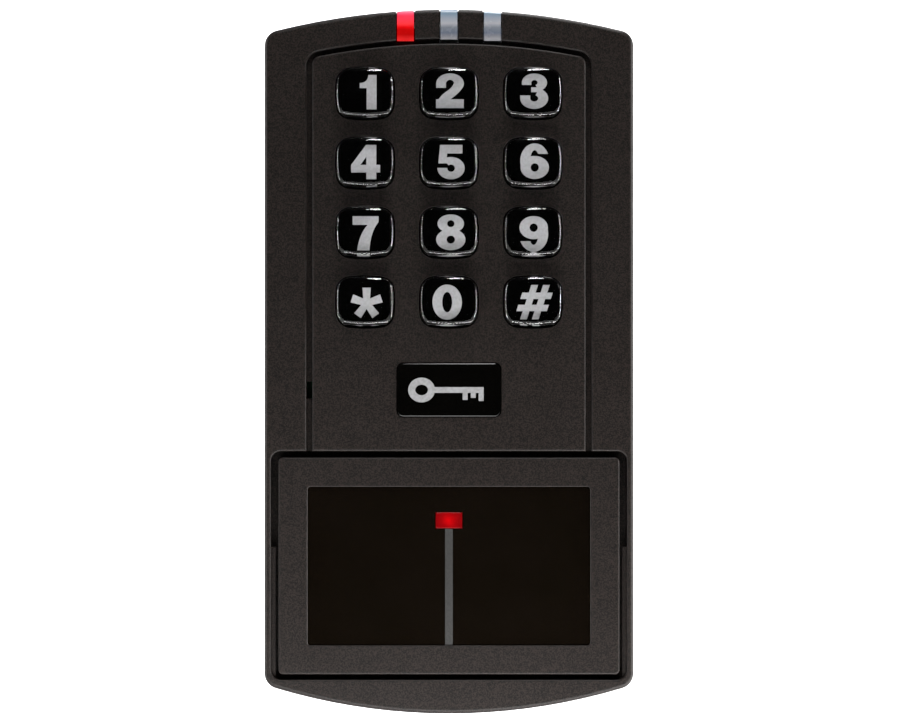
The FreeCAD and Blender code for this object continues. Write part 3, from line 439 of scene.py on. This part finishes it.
def figure_three():
    upper = bowl((0.05, 1.68), (2.48, 1.82), (0.62, 0.5), -70, 180)
    lower = bowl((0.0, -1.42), (2.75, 2.08), (0.78, 0.62), -180, 70)
    return [upper, lower, bar(-2.43, -0.57, 1.22, 1.68), bar(-2.75, -0.78, -1.42, -0.85),
            bar(-0.6, 1.3, -0.2, 0.75)]


def figure_four():
    slant = [(-2.85, -0.62), (0.1, 3.35), (0.9, 3.35), (0.9, 2.0), (0.15, 1.0), (-1.05, -0.62)]
    return [slant, bar(0.15, 2.1, -3.45, 3.35), bar(-2.85, 2.85, -2.1, -0.6)]


def figure_five():
    stem = [(-2.1, 3.4), (-0.7, 3.4), (-0.7, 1.7), (-0.85, 0.3), (-0.85, -0.25), (-2.45, -0.25)]
    lower = bowl((0.05, -1.2), (2.68, 2.2), (0.75, 0.72), -180, 128)
    return [bar(-2.1, 2.3, 1.7, 3.4), stem, lower, bar(-2.63, -0.7, -1.42, -1.15)]


def figure_six():
    middle = (0.05, 0)
    back = arc(middle, (2.85, 3.52), 24, 200) + arc(middle, (0.9, 2.15), 200, 42)
    return [back, *ring((0.05, -1.25), (2.8, 2.27), (0.8, 0.82))]


def figure_seven():
    right = curve((2.55, 2.2), (1.0, 0.4), (0.75, -3.4))
    left = curve((-1.65, -3.4), (-1.3, -0.3), (0.4, 1.65))
    return [[(-2.55, 3.35), (2.55, 3.35)] + right + [(0.75, -3.4)] + left + [(0.4, 1.65), (-2.55, 1.65)]]


def figure_eight():
    return [*ring((0, 1.72), (2.6, 1.82), (0.72, 0.68)), *ring((0, -1.42), (2.88, 2.1), (0.82, 0.78))]


def figure_nine():
    return turned(figure_six(), 180)


def figure_nought():
    return ring((0, 0), (2.9, 3.47), (0.98, 2.0))


def figure_star():
    arm = [(-0.6, 0), (-0.82, 3.05), (0.82, 3.05), (0.6, 0)]
    return [turned([arm], 72 * n)[0] for n in range(5)]


def figure_hash():
    slope = 0.327
    posts = [bar(x - 0.66, x + 0.66, -3.4, 3.4) for x in (-1.12, 1.2)]
    rails = [bar(-3.05, 2.95, z - 0.63, z + 0.63) for z in (-1.15, 1.25)]
    return [leaning(outline, slope) for outline in posts + rails]


def key_pictogram():
    """A door key lying on its side: a bow, a shaft and three teeth."""
    bow = ring((-5.2, 0), (2.55, 2.35), (1.2, 1.0))
    shaft = bar(-3.2, 6.6, -0.55, 0.55)
    teeth = [bar(x, x + 0.95, -low, 0) for x, low in ((2.6, 1.9), (4.15, 1.5), (5.65, 2.1))]
    return [*bow, shaft, *teeth]


# Each key's figure, and how far to the right of the key's middle and above it the figure is printed.
FIGURES = {
    "1": (figure_one, 0.34, 0.26),
    "2": (figure_two, 0.2, 0.45),
    "3": (figure_three, 0.25, 0.4),
    "4": (figure_four, 0.1, 0.17),
    "5": (figure_five, 0.34, 0.12),
    "6": (figure_six, 0.3, 0.3),
    "7": (figure_seven, 0.1, -0.19),
    "8": (figure_eight, 0.34, -0.04),
    "9": (figure_nine, 0.2, -0.33),
    "star": (figure_star, 0.29, -0.29),
    "0": (figure_nought, -0.33, -0.1),
    "hash": (figure_hash, 0.35, -0.1),
}


def prism(outline, back, thick):
    """A closed solid: the outline drawn out towards the front from y = back."""
    form = bmesh.new()
    corners = [form.verts.new((x * MM, back, z * MM)) for x, z in outline]
    drawn_out(form, [form.faces.new(corners)], thick)
    bmesh.ops.recalc_face_normals(form, faces=form.faces)
    return added(form, "outline")


def joined(outlines, name, back, thick):
    """One solid from outlines that overlap or meet."""
    first, *others = [prism(outline, back, thick) for outline in outlines]
    for other in others:
        union = first.modifiers.new("union", "BOOLEAN")
        union.operation = "UNION"
        union.solver = "EXACT"
        union.object = other
    evaluated = first.evaluated_get(bpy.context.evaluated_depsgraph_get())
    mesh = bpy.data.meshes.new_from_object(evaluated)
    for piece in (first, *others):
        bpy.data.objects.remove(piece)
    mesh.name = name
    result = bpy.data.objects.new(name, mesh)
    bpy.context.scene.collection.objects.link(result)
    return result


# ---- print on the keys and the name plate -------------------------------------------------


def key_backing(key):
    """The black ink on the back of a keycap, cut to the cap's own back face."""
    cap = frame["nodes"]["keycap_" + key]
    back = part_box("keycap_" + key)[1].y
    centre = front_middle("keycap_" + key)
    form = bmesh.new()
    form.from_mesh(cap.data)
    off_back = [v for v in form.verts if v.co.y < back - JOIN]
    bmesh.ops.delete(form, geom=off_back, context="VERTS")
    bmesh.ops.remove_doubles(form, verts=form.verts, dist=JOIN)
    bmesh.ops.dissolve_limit(form, angle_limit=0.01, verts=form.verts, edges=form.edges)
    inset = Matrix.Translation(centre) @ Matrix.Diagonal(INK_SHARE) @ Matrix.Translation(-centre)
    bmesh.ops.transform(form, matrix=inset, verts=form.verts)
    drawn_out(form, list(form.faces), PRINT_THICK)
    bmesh.ops.translate(form, verts=form.verts, vec=(0, -PRINT_LIFT, 0))
    bmesh.ops.recalc_face_normals(form, faces=form.faces)
    return added(form, "key_backing_" + key)


def print_key(key, materials):
    """The backing and the silver figure of one key."""
    backing = key_backing(key)
    wear(backing, materials["key_ink"])
    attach(backing, "key_" + key)
    outlines, right, up = FIGURES[key]
    centre = front_middle("keycap_" + key)
    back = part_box("keycap_" + key)[1].y - 2 * PRINT_LIFT - PRINT_THICK
    figure = joined(outlines(), "key_print_" + key, back, PRINT_THICK)
    figure.location = (centre.x + right * MM, 0, centre.z + up * MM)
    figure.scale = FIGURE_SCALE
    wear(figure, materials["key_print"])
    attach(figure, "key_" + key)


def print_badge(materials):
    """The silver key pictogram on the name plate."""
    centre = front_middle("badge_plate")
    figure = joined(key_pictogram(), "badge_print", centre.y + PRINT_LIFT / 2, PRINT_LIFT)
    figure.location = (centre.x, 0, centre.z)
    wear(figure, materials["badge_print"])
    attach(figure, "front_unit")


# ---- keypad mat ---------------------------------------------------------------------------


def trimmed(form, level, side):
    """Takes away what lies past a level of y, in front (-1) or behind (1), and closes the cut."""
    everything = form.verts[:] + form.edges[:] + form.faces[:]
    cut = bmesh.ops.bisect_plane(form, geom=everything, plane_co=(0, level, 0), plane_no=(0, side, 0),
                                 clear_outer=True)
    rim = [item for item in cut["geom_cut"] if isinstance(item, bmesh.types.BMEdge)]
    bmesh.ops.triangle_fill(form, edges=rim, use_beauty=True, normal=(0, side, 0))
    bmesh.ops.recalc_face_normals(form, faces=form.faces)


def mat_piece(form, name, material):
    """A piece of the silicone mat, on the front unit."""
    piece = added(form, name)
    wear(piece, material)
    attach(piece, "front_unit")
    return piece


def mat_copy():
    """The mat's mesh, to be cut."""
    form = bmesh.new()
    form.from_mesh(frame["nodes"]["keypad_mat"].data)
    bmesh.ops.remove_doubles(form, verts=form.verts, dist=JOIN)
    return form


def mat_dome(key, material):
    """The dome behind one key, as a piece of its own."""
    low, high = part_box("keypad_mat")
    web_front = high.y - WEB_THICK
    form = mat_copy()
    trimmed(form, web_front, 1)
    near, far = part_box("key_base_" + key)
    others = [v for v in form.verts if not (near.x < v.co.x < far.x and near.z < v.co.z < far.z)]
    bmesh.ops.delete(form, geom=others, context="VERTS")
    dome = mat_piece(form, "key_dome_" + key, material)
    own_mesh(dome)


def keypad_mat(material):
    """The mat as its web and its domes, each dome a piece of its own."""
    form = mat_copy()
    trimmed(form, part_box("keypad_mat")[1].y - WEB_THICK, -1)
    web = mat_piece(form, "keypad_mat_web", material)
    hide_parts("keypad_mat")
    for key in FIGURES:
        mat_dome(key, material)


# ---- carried-over nodes -------------------------------------------------------------------


def dress_nodes(materials):
    """Every CAD node in the material of its slot."""
    for part in frame["record"]["subparts"]:
        node = frame["nodes"][part["node"]]
        wear(node, materials[part["material_slot"]])
    wear(frame["nodes"]["status_lens_left"], materials["status_red"])


# ---- camera, floor and light --------------------------------------------------------------


def soft_light(name, spot, aim, size, power):
    """A rectangular soft light at a spot, looking at aim. Sizes are in metres."""
    data = bpy.data.lights.new(name, "AREA")
    data.shape = "RECTANGLE"
    data.size, data.size_y = size
    data.energy = power
    lamp = bpy.data.objects.new(name, data)
    lamp.location = spot
    lamp.rotation_euler = (Vector(aim) - Vector(spot)).to_track_quat("-Z", "Y").to_euler()
    bpy.context.scene.collection.objects.link(lamp)


def pale_floor():
    """A plain pale floor below the object that sweeps up far behind it."""
    level = LOW.z - FLOOR_DROP
    flat_end = FLOOR_BACK - FLOOR_BEND
    profile = [(FLOOR_FRONT, level), (flat_end, level)]
    for degrees in range(10, 100, 10):
        bend = math.radians(degrees)
        profile.append((flat_end + FLOOR_BEND * math.sin(bend), level + FLOOR_BEND * (1 - math.cos(bend))))
    profile.append((FLOOR_BACK, FLOOR_TOP))
    form = bmesh.new()
    rows = [[form.verts.new((x, y, z)) for x in (-FLOOR_SIDE, FLOOR_SIDE)] for y, z in profile]
    for near, far in zip(rows, rows[1:]):
        form.faces.new((near[0], near[1], far[1], far[0]))
    floor = added(form, "floor")
    material, tree, shader = new_material("floor")
    colour = blend_colours(tree, noise(tree, 6), (0.86, 0.86, 0.86), (0.9, 0.9, 0.9))
    tree.links.new(colour, shader.inputs["Base Color"])
    set_inputs(shader, Roughness=0.7)
    wear(floor, material)


def camera():
    """Square on to the front, from far enough away that the sides don't show."""
    data = bpy.data.cameras.new("camera")
    data.lens = FOCAL_LENGTH
    data.sensor_width = SENSOR
    data.clip_end = CLIP_END
    distance = VIEW_WIDTH * (HIGH.z - LOW.z) * FOCAL_LENGTH / SENSOR
    eye = bpy.data.objects.new("camera", data)
    eye.location = (EYE_RIGHT, LOW.y - distance, EYE_UP)
    eye.rotation_euler = (math.radians(90), 0, 0)
    bpy.context.scene.collection.objects.link(eye)
    bpy.context.scene.camera = eye


def studio():
    """Soft light from above, strips at the sides, a weak light from below and a lit backdrop."""
    soft_light("top_light", (0.05, -0.045, 0.4), (0, -0.04, 0), (0.8, 0.06), TOP_POWER)
    soft_light("left_light", (-0.4, -0.06, 0), (0, -0.04, 0), (0.05, 0.5), LEFT_POWER)
    soft_light("right_light", (0.4, -0.065, 0), (0, -0.04, 0), (0.05, 0.5), RIGHT_POWER)
    soft_light("low_light", (0.03, -0.11, -0.13), (0, -0.04, -0.06), (0.3, 0.04), LOW_POWER)
    soft_light("backdrop_light", (0, 0.8, 0.6), (0, 1.3, 0), (1.4, 0.3), BACK_POWER)
    world = bpy.data.worlds.new("world")
    world.use_nodes = True
    set_inputs(world.node_tree.nodes["Background"], Color=(1, 1, 1, 1), Strength=SURROUND)
    bpy.context.scene.world = world
    bpy.context.scene.view_settings.view_transform = "Standard"


# ---- making -------------------------------------------------------------------------------

camera()
studio()
pale_floor()
materials = all_materials()
dress_nodes(materials)
for key in FIGURES:
    print_key(key, materials)
print_badge(materials)
keypad_mat(materials["silicone"])
